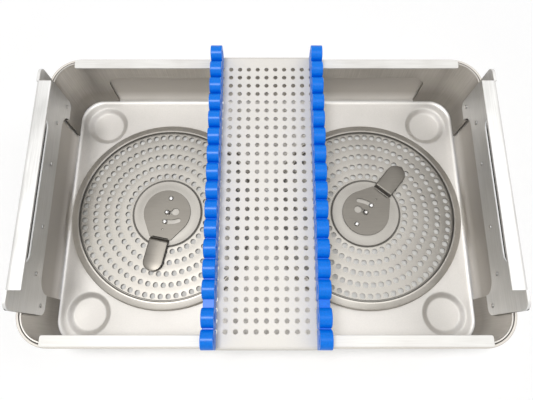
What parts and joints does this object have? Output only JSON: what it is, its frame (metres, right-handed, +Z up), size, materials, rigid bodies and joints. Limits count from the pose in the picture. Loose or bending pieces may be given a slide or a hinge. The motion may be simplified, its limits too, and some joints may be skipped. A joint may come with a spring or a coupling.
{
  "type": "sterilization container",
  "caption": "Deep-drawn steel container with filter ports under lever-locked perforated plates, a lift-out frame with hand slots, and a sliding perforated bridge with silicone strips.",
  "frame": {"origin": "middle of the plane that the four pressed feet stand on", "axes": "+Z up, +X to the right-hand end, +Y to the rear, away from the picture's camera"},
  "size_m": [0.4996, 0.306, 0.1325],
  "materials": {
    "pan_steel": "satin",
    "frame_steel": "brushed",
    "side_steel": "satin",
    "plate_steel": "satin",
    "lever_steel": "satin",
    "bridge_steel": "satin",
    "rivet_steel": "polished",
    "handle_steel": "polished",
    "silicone": "satin",
    "gasket": "matte",
    "paper": "matte"
  },
  "bodies": {
    "base": {"pan": "pan_steel", "centre_post_left": "rivet_steel", "centre_post_right": "rivet_steel", "filter_paper_left": "paper", "filter_paper_right": "paper", "handle_bracket_left": "handle_steel", "handle_bracket_right": "handle_steel", "bracket_rivet_left_1": "rivet_steel", "bracket_rivet_left_2": "rivet_steel", "bracket_rivet_left_3": "rivet_steel", "bracket_rivet_left_4": "rivet_steel", "bracket_rivet_right_1": "rivet_steel", "bracket_rivet_right_2": "rivet_steel", "bracket_rivet_right_3": "rivet_steel", "bracket_rivet_right_4": "rivet_steel"},
    "retention_left": {"retention_plate_left": "plate_steel", "filter_gasket_left": "gasket", "lever_pivot_left": "rivet_steel", "lever_guide_pin_left": "rivet_steel"},
    "retention_right": {"retention_plate_right": "plate_steel", "filter_gasket_right": "gasket", "lever_pivot_right": "rivet_steel", "lever_guide_pin_right": "rivet_steel"},
    "lever_left": {"lock_lever_left": "lever_steel"},
    "lever_right": {"lock_lever_right": "lever_steel"},
    "insert": {"frame_rear": "frame_steel", "frame_front": "frame_steel", "side_plate_left": "side_steel", "side_plate_right": "side_steel", "side_rivet_left_1": "rivet_steel", "side_rivet_left_2": "rivet_steel", "side_rivet_left_3": "rivet_steel", "side_rivet_left_4": "rivet_steel", "side_rivet_left_5": "rivet_steel", "side_rivet_left_6": "rivet_steel", "side_rivet_right_1": "rivet_steel", "side_rivet_right_2": "rivet_steel", "side_rivet_right_3": "rivet_steel", "side_rivet_right_4": "rivet_steel", "side_rivet_right_5": "rivet_steel", "side_rivet_right_6": "rivet_steel"},
    "bridge": {"bridge_plate": "bridge_steel", "bridge_strip_left": "silicone", "bridge_strip_right": "silicone"},
    "bail_left": {"handle_bail_left": "handle_steel"},
    "bail_right": {"handle_bail_right": "handle_steel"}
  },
  "joints": [
    {"name": "retention_left_turn", "type": "hinge", "parent": "base", "child": "retention_left", "pos_m": [-0.1152, 0, 0.0065], "axis": [0, 0, 1], "continuous": true},
    {"name": "retention_right_turn", "type": "hinge", "parent": "base", "child": "retention_right", "pos_m": [0.1152, 0, 0.0065], "axis": [0, 0, 1], "continuous": true},
    {"name": "lever_left_swing", "type": "hinge", "parent": "retention_left", "child": "lever_left", "pos_m": [-0.11159, 0.01712, 0.0134], "axis": [0, 0, -1], "range_deg": [0, 32]},
    {"name": "lever_right_swing", "type": "hinge", "parent": "retention_right", "child": "lever_right", "pos_m": [0.10414, -0.01356, 0.0134], "axis": [0, 0, -1], "range_deg": [0, 32]},
    {"name": "insert_lift", "type": "slide", "parent": "base", "child": "insert", "axis": [0, 0, 1], "range_m": [0, 0.1]},
    {"name": "bridge_slide", "type": "slide", "parent": "insert", "child": "bridge", "axis": [1, 0, 0], "range_m": [-0.145, 0.145]},
    {"name": "bail_left_swing", "type": "hinge", "parent": "base", "child": "bail_left", "pos_m": [-0.2428, 0, 0.0785], "axis": [0, 1, 0], "range_deg": [0, 90]},
    {"name": "bail_right_swing", "type": "hinge", "parent": "base", "child": "bail_right", "pos_m": [0.2428, 0, 0.0785], "axis": [0, -1, 0], "range_deg": [0, 90]}
  ]
}
